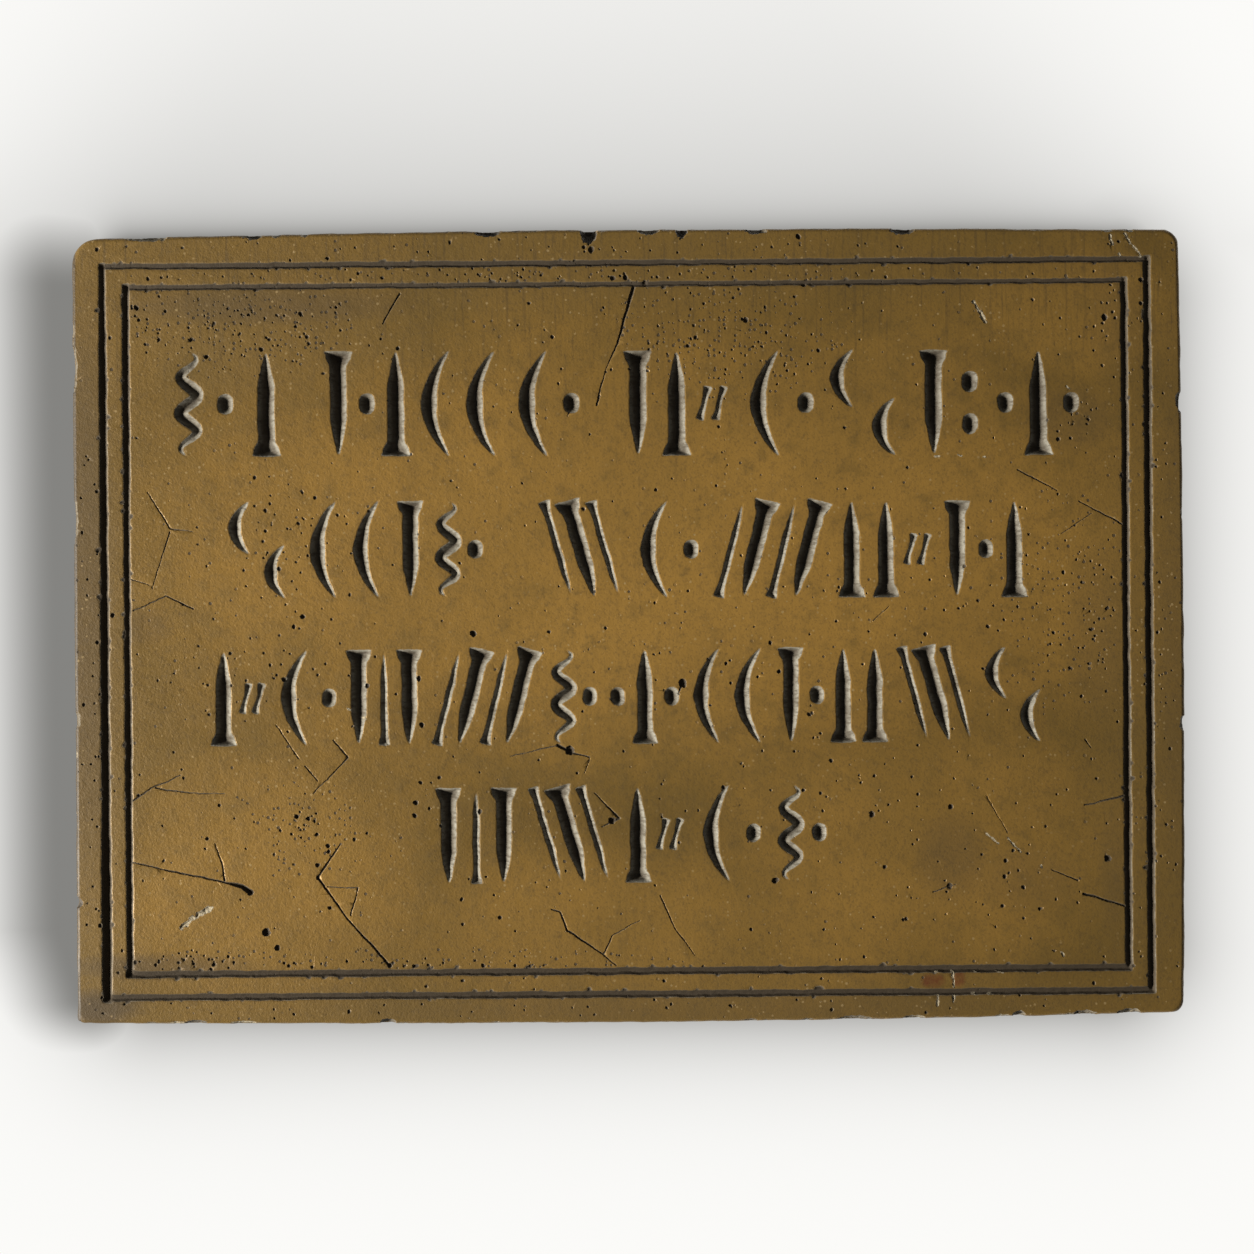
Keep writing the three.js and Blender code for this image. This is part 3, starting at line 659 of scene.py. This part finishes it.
def chip_edges(points, bare, tone, rng):
    """The placed flakes, then nibbles all along the front edge."""
    for side, chips in CHIPS.items():
        for chip in chips:
            flake(points, bare, tone, side, *chip)
    for _ in range(EDGE_NIBBLES):
        side = rng.choice(tuple(NIBBLE_SHARES), p=tuple(NIBBLE_SHARES.values()))
        size = 0.7 + rng.gamma(1.5, 0.45)
        flake(points, bare, tone, side, rng.uniform(-0.98, 0.98), size * rng.uniform(1.2, 3.0),
              -0.55 + 0.22 * size, -0.5 + 0.4 * size, rng.uniform(0, 1))


def shell_faces(face, ring_count, ring_length):
    """Quads of the face's grid, then between the edge's rings, all turned outwards."""
    index = np.arange(face.rows * face.columns).reshape(face.rows, face.columns)
    grid = np.stack((index[:-1, :-1], index[:-1, 1:], index[1:, 1:], index[1:, :-1]), -1).reshape(-1, 4)
    edge = np.concatenate((index[0, :-1], index[:-1, -1], index[-1, :0:-1], index[:0:-1, 0]))
    rings = index.size + np.arange(ring_count * ring_length).reshape(ring_count, ring_length)
    rings = np.concatenate((edge[None], rings))
    beside = np.roll(rings, -1, axis=1)
    bands = np.stack((rings[:-1], rings[1:], beside[1:], beside[:-1]), -1).reshape(-1, 4)
    return np.concatenate((grid, bands))


def add_object(name, data):
    made = bpy.data.objects.new(name, data)
    bpy.context.scene.collection.objects.link(made)
    return made


def mesh_from_arrays(name, points, quads):
    mesh = bpy.data.meshes.new(name)
    mesh.vertices.add(len(points))
    mesh.vertices.foreach_set("co", points.astype(np.float32).ravel())
    mesh.loops.add(quads.size)
    mesh.loops.foreach_set("vertex_index", quads.astype(np.int32).ravel())
    mesh.polygons.add(len(quads))
    mesh.polygons.foreach_set("loop_start", np.arange(0, quads.size, 4, dtype=np.int32))
    mesh.update(calc_edges=True)
    return mesh


def thinned(mesh, triangles):
    """The mesh with its flat stretches joined into larger triangles."""
    thick = add_object("thick", mesh)
    collapse = thick.modifiers.new("collapse", "DECIMATE")
    collapse.ratio = min(1.0, triangles / (2 * len(mesh.polygons)))
    collapse.use_collapse_triangulate = True
    graph = bpy.context.evaluated_depsgraph_get()
    thin = bpy.data.meshes.new_from_object(thick.evaluated_get(graph), depsgraph=graph)
    bpy.data.objects.remove(thick)
    bpy.data.meshes.remove(mesh)
    return thin


def arc(middle, radius, start, end, count):
    """Points of a round arc in the back's plane, as x and z."""
    angles = np.radians(np.linspace(start, end, count))
    return [(radius * math.cos(a), middle + radius * math.sin(a)) for a in angles]


def close_back(shell):
    """Fills the back's rim round a keyhole, whose lip, pocket walls and floor go into the slab.

    The lip's outline is the entry's arc and the neck, and the pocket's is a slot as wide as the entry.
    Both share the entry's lower half.
    """
    top = KEYHOLE_FOOT + KEYHOLE_RISE
    half_open = math.degrees(math.asin(NECK_RADIUS / ENTRY_RADIUS))
    below = arc(KEYHOLE_FOOT, ENTRY_RADIUS, 180, 360, 17)
    right = arc(KEYHOLE_FOOT, ENTRY_RADIUS, 0, 90 - half_open, 7)[1:]
    left = arc(KEYHOLE_FOOT, ENTRY_RADIUS, 90 + half_open, 180, 7)[:-1]
    lip = below + right + arc(top, NECK_RADIUS, 0, 180, 13) + left
    pocket = below + arc(top, ENTRY_RADIUS, 0, 180, 17)
    rim = [edge for edge in shell.edges if edge.is_boundary]
    for vert in {vert for edge in rim for vert in edge.verts}:
        vert.co.y = 0.0

    def loop(outline, depth):
        return [shell.verts.new((x * MM, -depth * MM, z * MM)) for x, z in outline]

    def wall(near, far):
        for k, vert in enumerate(near):
            after = (k + 1) % len(near)
            shell.faces.new((vert, near[after], far[after], far[k]))

    mouth = loop(lip, 0)
    inner = loop(lip, LIP_THICKNESS)
    ledge = inner[:len(below)] + loop(pocket[len(below):], LIP_THICKNESS)
    floor = loop(pocket, KEYHOLE_DEPTH)
    wall(mouth, inner)
    wall(ledge, floor)
    shell.faces.new(floor)

    def ring_edges(ring):
        return [shell.edges.get((vert, ring[(k + 1) % len(ring)])) for k, vert in enumerate(ring)]

    bmesh.ops.triangle_fill(shell, edges=rim + ring_edges(mouth), use_beauty=True)
    shared = set(ring_edges(ledge)) & set(ring_edges(inner))
    around = [edge for edge in ring_edges(ledge) + ring_edges(inner) if edge not in shared]
    bmesh.ops.triangle_fill(shell, edges=around, use_beauty=True)
    return mouth + inner + ledge + floor


class PLAQUE_OT_plaque(bpy.types.Operator):
    """Build the plaque's weathered relief in place of the plain solid"""

    bl_idname = "plaque.plaque"
    bl_label = "Plaque"

    def execute(self, context):
        sizes = context.scene.plaque_sizes
        coarse = 1
        face = Face(coarse * sizes.grid_step / MM, sizes.waver / MM)
        rng = np.random.default_rng(SEED)
        cut_border(face, rng)
        cut_rows(face)
        face.depth = np.maximum(box_blur(face.depth, 1), 0)
        cut_scratches(face)
        scatter_pits(face, rng)
        for half, *ends in GOUGES:
            face.gouge(half, np.array(ends, float).reshape(2, 2))
        near = box_blur(box_blur(np.clip(face.depth * 3, 0, 1), 5), 4)

        rings = edge_rings(face, coarse * sizes.side_step / MM)
        flat = np.stack((face.depth, face.x, face.z), -1).reshape(-1, 3)
        points = np.concatenate((flat, rings.reshape(-1, 3)))
        spare = np.zeros(rings.shape[0] * rings.shape[1])
        fields = {"cut": face.depth, "near": near, "soot_and_shade": face.soot_and_shade, "bare": face.bare, "tone": face.tone}
        values = {name: np.concatenate((field.ravel(), spare)) for name, field in fields.items()}
        bare, tone = values["bare"], values["tone"]
        rim = np.flatnonzero((np.abs(points[:, 1]) > WIDTH / 2 - 8) | (np.abs(points[:, 2]) > HEIGHT / 2 - 8))
        rim_points, rim_bare, rim_tone = points[rim], bare[rim], tone[rim]
        chip_edges(rim_points, rim_bare, rim_tone, rng)
        points[rim], bare[rim], tone[rim] = rim_points, rim_bare, rim_tone

        placed = np.stack((points[:, 1], points[:, 0] - THICKNESS, points[:, 2]), 1) * MM
        mesh = mesh_from_arrays(PIECE, placed, shell_faces(face, rings.shape[0], rings.shape[1]))
        for name, value in values.items():
            mesh.attributes.new(name, "FLOAT", "POINT").data.foreach_set("value", value.astype(np.float32))
        mesh = thinned(mesh, sizes.triangles)

        shell = bmesh.new()
        shell.from_mesh(mesh)
        raw = shell.verts.layers.float.new("raw")
        for vert in close_back(shell):
            vert[raw] = 1.0
        bmesh.ops.triangulate(shell, faces=[f for f in shell.faces if len(f.verts) > 3])
        bmesh.ops.recalc_face_normals(shell, faces=shell.faces)
        shell.to_mesh(mesh)
        shell.free()
        mesh.shade_smooth()
        mesh.set_sharp_from_angle(angle=math.radians(36))
        mesh.name = PIECE
        mesh.materials.append(bronzed_stone(context.scene.plaque_finish))
        plaque = add_object(PIECE, mesh)
        even = plaque.modifiers.new("even_normals", "WEIGHTED_NORMAL")
        even.mode = "FACE_AREA"
        even.weight = 80
        even.keep_sharp = True
        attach(plaque, "root")
        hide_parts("plaque")
        return {"FINISHED"}


def arithmetic(operation, swapped=False):
    """A method that adds a Math node."""
    def apply(self, other=0.0):
        first, second = (other, self) if swapped else (self, other)
        return self.paint.node("Math", {"operation": operation}, {0: first, 1: second})
    return apply


class Wire:
    """One socket of a node tree. Arithmetic on it adds Math nodes."""

    def __init__(self, paint, socket):
        self.paint = paint
        self.socket = socket

    __add__ = __radd__ = arithmetic("ADD")
    __sub__ = arithmetic("SUBTRACT")
    __rsub__ = arithmetic("SUBTRACT", swapped=True)
    __mul__ = __rmul__ = arithmetic("MULTIPLY")
    __pow__ = arithmetic("POWER")
    __abs__ = arithmetic("ABSOLUTE")
    grow = arithmetic("EXPONENT")
    most = arithmetic("MAXIMUM")

    def between(self, low, high):
        """0 at low, 1 at high, and a smoothstep between them."""
        return self.paint.node("MapRange", {"interpolation_type": "SMOOTHSTEP"}, {0: self, 1: low, 2: high})


class Paint:
    """A material's node tree."""

    def __init__(self, name):
        self.material = bpy.data.materials.new(name)
        self.material.use_nodes = True
        self.tree = self.material.node_tree
        self.tree.nodes.clear()

    def node(self, kind, settings=None, inputs=None, output=0):
        """Adds a node: its settings first, then its sockets' values or links."""
        made = self.tree.nodes.new("ShaderNode" + kind)
        for name, value in (settings or {}).items():
            setattr(made, name, value)
        for key, value in (inputs or {}).items():
            if isinstance(value, Wire):
                self.tree.links.new(value.socket, made.inputs[key])
            else:
                made.inputs[key].default_value = value
        return Wire(self, made.outputs[output])

    def mix(self, colour, *layers):
        """A colour under others, each laid over what is below it by its own share."""
        for over, share in layers:
            pair = [value if isinstance(value, Wire) else (*value, 1) for value in (colour, over)]
            colour = self.node("Mix", {"data_type": "RGBA"}, {0: share, 6: pair[0], 7: pair[1]}, 2)
        return colour

    def place(self):
        return self.node("TexCoord", output="Object")

    def axes(self, place):
        parts = self.tree.nodes.new("ShaderNodeSeparateXYZ")
        self.tree.links.new(place.socket, parts.inputs[0])
        return [Wire(self, socket) for socket in parts.outputs]

    def noise(self, place, size, detail, roughness):
        """Noise from 0 to 1 whose features are about size metres apart."""
        inputs = {"Vector": place, "Scale": 1 / size, "Detail": detail, "Roughness": roughness}
        return self.node("TexNoise", {}, inputs)

    def stretched(self, place, scale):
        return self.node("Mapping", {}, {"Vector": place, "Scale": scale})

    def attribute(self, name):
        return self.node("Attribute", {"attribute_name": name}, {}, "Fac")

    def finish(self, shader):
        out = self.tree.nodes.new("ShaderNodeOutputMaterial")
        self.tree.links.new(shader.socket, out.inputs[0])
        return self.material


# Soft patches on the face: place, size across and up, and how far they change the finish.
DULLED = (
    (-0.152, 0.0, 0.018, 0.2, 0.75), (-0.05, 0.103, 0.2, 0.02, 0.5), (-0.1, 0.085, 0.06, 0.022, 0.5),
    (0.161, -0.02, 0.042, 0.13, 0.7), (0.0, -0.109, 0.2, 0.018, 0.35),
)
GRIMY = (
    (0.134, 0.084, 0.008, 0.02, 0.2), (0.122, 0.056, 0.012, 0.01, 0.35),
    (-0.147, -0.104, 0.014, 0.006, 0.9), (-0.149, 0.01, 0.008, 0.09, 0.55),
    (0.02, -0.105, 0.13, 0.005, 0.3), (0.15, 0.0, 0.006, 0.09, 0.25), (-0.13, -0.0925, 0.03, 0.004, 0.6),
    (-0.1, 0.0885, 0.045, 0.006, 0.5), (0.088, -0.064, 0.012, 0.014, 0.4),
    (0.108, -0.07, 0.016, 0.01, 0.25), (0.132, -0.068, 0.004, 0.02, 0.25),
    (-0.133, 0.001, 0.008, 0.006, 0.35), (0.128, -0.002, 0.01, 0.026, 0.22),
)
RUSTY = (
    (0.0825, -0.0979, 0.0036, 0.0024, 0.7), (0.0896, -0.0971, 0.0022, 0.0028, 0.6),
)
# Patches where the bronze is painted brighter. The one at the lower left is partly painted sheen, where the
# light from the lower left gleams on the paint.
BRIGHTER_PATCHES = (
    (-0.1, -0.072, 0.055, 0.04, 0.5), (0.02, 0.02, 0.16, 0.07, 0.9), (-0.06, 0.01, 0.06, 0.06, 0.5),
    (0.08, -0.06, 0.07, 0.04, 0.6), (0.0, -0.085, 0.09, 0.03, 0.5), (0.122, 0.086, 0.03, 0.024, 0.6),
)
GRITTY = (
    (-0.106, 0.082, 0.034, 0.016, 1.0), (0.028, 0.078, 0.036, 0.018, 1.0),
    (-0.09, -0.054, 0.018, 0.016, 0.8), (-0.06, -0.091, 0.09, 0.004, 0.9), (0.118, 0.005, 0.02, 0.035, 0.6),
    (0.0, 0.096, 0.14, 0.004, 0.5),
)


def patches(x, z, mottle, spots):
    """The most of several soft ellipses: 1 less a smoothstep of the squared distance, made ragged."""
    most = None
    for middle_x, middle_z, wide, high, strength in spots:
        across = (x - middle_x) * (1 / wide)
        up = (z - middle_z) * (1 / high)
        far = across * across + up * up + (mottle - 0.5) * 0.9
        spot = (1 - far.between(0.0, 1.2)) * strength
        most = spot if most is None else most.most(spot)
    return most


def dots(paint, flat, size, share):
    """Round dots in a share of the cells of a flat pattern, each of its own size."""
    inputs = {"Vector": flat, "Scale": 1 / size}
    settings = {"voronoi_dimensions": "2D"}
    distance = paint.node("TexVoronoi", settings, inputs)
    chance, wide, _ = paint.axes(paint.node("TexVoronoi", settings, inputs, "Color"))
    edge = wide * 0.22 + 0.1
    inside = (edge - distance).between(-0.04, 0.06)
    return inside * (share - chance).between(-0.01, 0.01)


def bronzed_stone(colours):
    """Bronze paint over cast stone. Cuts and pits lose the paint, chips show stone, and the back is bare."""
    paint = Paint("bronzed_cast_stone")
    place = paint.place()
    x, y, z = paint.axes(place)
    flat = paint.node("CombineXYZ", {}, {0: x, 1: z})
    cut, near, soot_and_shade, bare, tone, raw = map(paint.attribute, ("cut", "near", "soot_and_shade", "bare", "tone", "raw"))
    raw = raw.most(y.between(-BACK_ARRIS / 2 * MM, -0.1 * MM))
    side = y.between((1 - THICKNESS) * MM, (2.2 - THICKNESS) * MM)

    cloud = paint.noise(place, 0.045, 3.0, 0.55)
    mottle = paint.noise(place, 0.0065, 4.0, 0.62)
    grain = paint.noise(place, 0.0006, 2.0, 0.6)
    coarse = paint.noise(place, 0.0016, 3.0, 0.65)
    fine = paint.noise(place, 0.00028, 1.0, 0.5)
    brushed = paint.noise(paint.stretched(place, (1.0, 1.0, 0.05)), 0.0009, 2.0, 0.6)
    chatter = paint.noise(paint.stretched(place, (0.3, 0.3, 1.0)), 0.0008, 2.0, 0.65)

    dulled, grimy, rusty, brighter, gritty = (
        patches(x, z, mottle, spots) for spots in (DULLED, GRIMY, RUSTY, BRIGHTER_PATCHES, GRITTY))
    # How much brighter bronze shows: random clouds and the brighter patches, the lower left one partly
    # painted sheen.
    bright_share = (cloud.between(0.34, 0.64) * 0.3 + brighter * 0.8 - 0.05) * (1 - dulled)
    brush = brushed.between(0.5, 0.72) * (z.between(0.05, 0.1) * 0.3 + 0.07)
    # Painted highlights: small bright dots that stand in for grains of the paint glinting in the light.
    painted_glints = dots(paint, flat, 0.0012, 0.07) * cloud.between(0.3, 0.6) * (1 - side)
    specks = dots(paint, flat, 0.0014, gritty * 0.34 + cloud.between(0.3, 0.7) * 0.035) * (1 - side)
    painted = paint.mix(
        colours.dull_bronze,
        (colours.bronze, bright_share),
        (colours.dull_bronze, mottle.between(0.48, 0.74) * 0.5),
        (colours.patina, (1 - grain.between(0.28, 0.5)) * 0.3),
        (colours.patina, coarse.between(0.52, 0.7) * 0.2),
        (colours.patina, brush.most(grimy * (0.55 + mottle * 0.6))),
        (colours.painted_glint, painted_glints * 0.5),
        (colours.rust, rusty * (coarse * 1.9)),
        (colours.patina, near.between(0.1, 0.9) * 0.35),
        (colours.patina, side * (mottle.between(0.3, 0.7) * 0.3 + 0.35)),
        (colours.soot_and_shade, specks * 0.9),
    )

    # Painted shade besides soot: the border lines' walls darken towards the bottom of the cut, and the top
    # and bottom lines, scratches and pits are painted black.
    sooty_shaded = paint.mix(colours.sooty_shaded_groove, (colours.soot_and_shade, cut.between(0.12, 0.75) * 0.85))
    black = (soot_and_shade - 1) * cut.between(0.0, 0.32)
    wall = paint.mix(
        colours.groove,
        (colours.patina, mottle.between(0.44, 0.7) * 0.5),
        (colours.patina, chatter.between(0.46, 0.66) * 0.6),
        # The walls of the upper rows are darker.
        (colours.patina, z.between(0.045, 0.075) * 0.3),
        # Painted shade besides soot: the walls of every cut darken towards its bottom, where shade falls in
        # the V.
        (colours.soot_and_shade, cut.between(0.2, 1.5) * 0.8),
        (sooty_shaded, soot_and_shade),
        (colours.soot_and_shade, (grain.between(0.5, 0.75) * 0.4).most(black)),
    )
    deep = cut.between(0.05, 0.2)

    chip = paint.mix(colours.sooty_shaded_stone, (colours.stone, tone),
                     (colours.soot_and_shade, grain.between(0.45, 0.7) * 0.65))
    broken = bare.between(0.25, 0.75)
    # Painted shade besides wear, on the left front edge only, where the key light falls: the dark colour
    # holds down the edge's highlight.
    arris = (-1 * x - (WIDTH / 2 - 1.6) * MM).between(0.0, 0.7 * MM) * (1 - side)
    edge = arris * (1 - deep) * (1 - broken)
    plain = paint.mix(colours.stone, (colours.dusty_stone, cloud.between(0.35, 0.65)),
                      (colours.patina, mottle.between(0.55, 0.8) * 0.3))
    colour = paint.mix(
        painted,
        (wall, deep),
        (chip, broken),
        (colours.worn_shaded_edge, edge * (0.65 + grain.between(0.4, 0.6) * 0.3)),
        (plain, raw * (1 - mottle.between(0.62, 0.7) * 0.15)),
    )

    matt = deep.most(broken).most(raw).most(specks)
    roughness = matt * 0.34 + 0.46 + (mottle - 0.5) * 0.22 + dulled * 0.1 + grimy * 0.06
    metal = (1 - matt) * (1 - grimy * 0.6) * (1 - dulled * 0.5) * 0.24

    lively = 1.4 - x.between(-0.11, 0.02) * 0.75
    relief = (grain * 0.6 + fine * 0.25 + coarse * 0.7 + mottle * 1.2) * lively
    relief = relief + (broken * grain + raw * mottle) * 2.0 + deep * chatter * 1.2 - specks * 1.6
    bump = paint.node("Bump", {}, {"Strength": 0.58, "Distance": 0.00016, "Height": relief})
    inputs = {"Base Color": colour, "Roughness": roughness, "Metallic": metal, "Normal": bump,
              "Specular IOR Level": 0.4}
    return paint.finish(paint.node("BsdfPrincipled", {}, inputs))


# The shade on the wall, in metres: the length over which it fades and its strength, all round, above and
# close above, how blunt its outline is, and the widths between which the band on the left fades.
ROUND_SHADE = (0.014, 0.62)
OVER_SHADE = (0.06, 0.4)
CONTACT_SHADE = (0.0045, 0.58)
SHADE_BLUNT = 0.02
OVER_MIDDLE = -0.0155
OVER_HALVES = (0.106, 0.236)
BAND_WIDTHS = (0.01, 0.041)
BAND_STRENGTH = 0.77


def pale_wall(stage):
    """A wall that glows evenly, darkens softly round the plaque, and isn't there from behind.

    The shade falls off as an exponential of the distance from a blunted outline. It is long and strong
    above, where it narrows upwards, and a broad band stands along the left side.
    """
    paint = Paint("pale_wall")
    x, y, z = paint.axes(paint.place())

    def fading(distance, length, strength):
        return (distance * (-1 / length)).grow() * strength

    half_x = WIDTH / 2 * MM
    half_z = HEIGHT / 2 * MM
    beyond_x = (abs(x) - (half_x - SHADE_BLUNT)).most(0.0)
    beyond_z = (abs(z) - (half_z - SHADE_BLUNT)).most(0.0)
    away = ((beyond_x * beyond_x + beyond_z * beyond_z) ** 0.5 - SHADE_BLUNT).most(0.0)
    round_edge = fading(away, *ROUND_SHADE)
    rise = (z - half_z).most(0.0)
    reach = 1 - (abs(x - OVER_MIDDLE) + rise * 0.6).between(*OVER_HALVES)
    over = fading(rise, *OVER_SHADE) * reach * z.between(0.05, half_z)
    contact = fading(rise, *CONTACT_SHADE) * z.between(half_z - MM, half_z)
    contact = contact * (1 - abs(x).between(0.14, 0.156))
    leftward = -1 * x - half_x
    outward = leftward + (-1 * z - 0.085).most(0.0) * 0.35
    outside = leftward.most(abs(z) - half_z).between(-MM, 0.0)
    band = outside * leftward.between(-0.03, 0.002) * (1 - outward.between(*BAND_WIDTHS)) * BAND_STRENGTH
    low_end = (-1 * z - half_z).between(-0.004, 0.018)
    high_end = (z - half_z).between(-0.012, 0.022)
    beside = band * (1 - low_end.most(high_end))
    shade = paint.mix(stage.wall, (stage.wall_shade, round_edge.most(over + contact).most(beside)))
    glow = paint.node("Emission", {}, {"Color": shade, "Strength": 1.0})
    clear = paint.node("BsdfTransparent")
    behind = paint.node("NewGeometry", output="Backfacing")
    return paint.finish(paint.node("MixShader", {}, {0: behind, 1: glow, 2: clear}))


def pale_room(stage):
    """A surface that only glows."""
    paint = Paint("pale_room")
    return paint.finish(paint.node("Emission", {}, {"Color": (*stage.room, 1), "Strength": 1.0}))


WALL_PLACE = 0.0006
WALL_HALF = 2.0
ROOM_RADIUS = 4.0
KEY_PLACE = (-1.45, -0.7, -0.32)
KEY_SIZE = 0.3
KEY_COLOUR = (1.0, 0.965, 0.9)
FILL_PLACE = (0.5, 1.4, 0.9)
FILL_SIZE = 1.2
ROOM_COLOUR = (0.95, 0.97, 1.0)


class PLAQUE_OT_stage(bpy.types.Operator):
    """Add the pale wall, the lights and the camera"""

    bl_idname = "plaque.stage"
    bl_label = "Wall, light and camera"

    def execute(self, context):
        stage = context.scene.plaque_stage
        signs = ((-1, -1), (1, -1), (1, 1), (-1, 1))
        corners = [(x * WALL_HALF, WALL_PLACE, z * WALL_HALF) for x, z in signs]
        mesh = bpy.data.meshes.new("wall")
        mesh.from_pydata(corners, [], [(0, 1, 2, 3)])
        mesh.materials.append(pale_wall(stage))
        wall = add_object("wall", mesh)
        wall.visible_shadow = False

        shell = bmesh.new()
        bmesh.ops.create_icosphere(shell, subdivisions=4, radius=ROOM_RADIUS)
        mesh = bpy.data.meshes.new("room")
        shell.to_mesh(mesh)
        shell.free()
        mesh.materials.append(pale_room(stage))
        room = add_object("room", mesh)
        for ray in ("diffuse", "glossy", "transmission", "shadow"):
            setattr(room, "visible_" + ray, False)

        self.light("key", KEY_PLACE, KEY_SIZE, stage.key_power, KEY_COLOUR)
        self.light("rear_fill", FILL_PLACE, FILL_SIZE, stage.fill_power)
        world = bpy.data.worlds.new("room")
        world.use_nodes = True
        glow = world.node_tree.nodes["Background"].inputs
        glow["Color"].default_value = (*ROOM_COLOUR, 1)
        glow["Strength"].default_value = stage.room_light
        context.scene.world = world
        context.scene.view_settings.view_transform = "Standard"

        camera = add_object("camera", bpy.data.cameras.new("camera"))
        camera.data.lens = stage.lens
        camera.data.sensor_width = 36.0
        camera.location = (-0.63 * MM, CAD_LOW.y - stage.distance, -0.3 * MM)
        camera.rotation_euler = (math.pi / 2, stage.roll, 0.0)
        context.scene.camera = camera
        return {"FINISHED"}

    def light(self, name, place, size, power, colour=(1.0, 1.0, 1.0)):
        """A square area light that looks at the middle of the plaque."""
        data = bpy.data.lights.new(name, "AREA")
        data.size = size
        data.energy = power
        data.color = colour
        light = add_object(name, data)
        centre = (CAD_LOW + CAD_HIGH) / 2
        light.location = place
        light.rotation_euler = (centre - light.location).to_track_quat("-Z", "Y").to_euler()


class PLAQUE_PT_panel(bpy.types.Panel):
    """Lists the plaque's operators and settings"""

    bl_label = "Plaque"
    bl_idname = "PLAQUE_PT_panel"
    bl_space_type = "VIEW_3D"
    bl_region_type = "UI"
    bl_category = "Plaque"

    def draw(self, context):
        for attribute in GROUPS:
            group = getattr(context.scene, attribute)
            box = self.layout.box()
            for name in group.__annotations__:
                box.prop(group, name)
        for operator in (PLAQUE_OT_plaque, PLAQUE_OT_stage):
            self.layout.operator(operator.bl_idname)


GROUPS = {"plaque_sizes": PlaqueSizes, "plaque_finish": PlaqueFinish, "plaque_stage": StageSettings}
CLASSES = (*GROUPS.values(), PLAQUE_OT_plaque, PLAQUE_OT_stage, PLAQUE_PT_panel)


def register():
    for cls in CLASSES:
        bpy.utils.register_class(cls)
    for name, group in GROUPS.items():
        setattr(bpy.types.Scene, name, bpy.props.PointerProperty(type=group))


def unregister():
    for name in GROUPS:
        delattr(bpy.types.Scene, name)
    for cls in reversed(CLASSES):
        bpy.utils.unregister_class(cls)


def main():
    register()
    bpy.ops.plaque.stage()
    bpy.ops.plaque.plaque()


if __name__ == "__main__":
    main()
